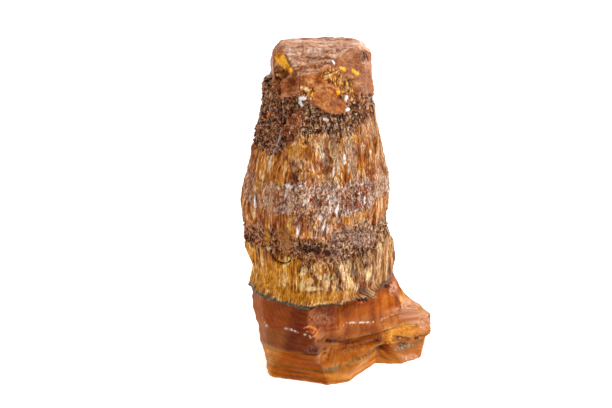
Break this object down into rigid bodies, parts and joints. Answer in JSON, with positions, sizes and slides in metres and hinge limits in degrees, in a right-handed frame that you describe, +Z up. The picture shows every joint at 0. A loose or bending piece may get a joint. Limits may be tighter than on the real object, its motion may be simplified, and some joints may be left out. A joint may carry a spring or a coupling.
{
  "type": "rough tiger's eye",
  "caption": "Upright broken piece of rough tiger's eye: a tapering body of packed fibres with a jasper cap, standing in a wider layered jasper foot with a ledged recess.",
  "frame": {"origin": "middle of the outline seen from above, on the floor that the stone stands on", "axes": "+Z up the fibres, +X to the right of the front, +Y to the back"},
  "size_m": [0.0346, 0.0268, 0.06],
  "materials": {
    "tigers_eye": "rough golden-brown fibres, with satin red and ochre jasper at the foot and cap"
  },
  "bodies": {
    "root": {"rough_tigers_eye": "tigers_eye"}
  },
  "joints": []
}
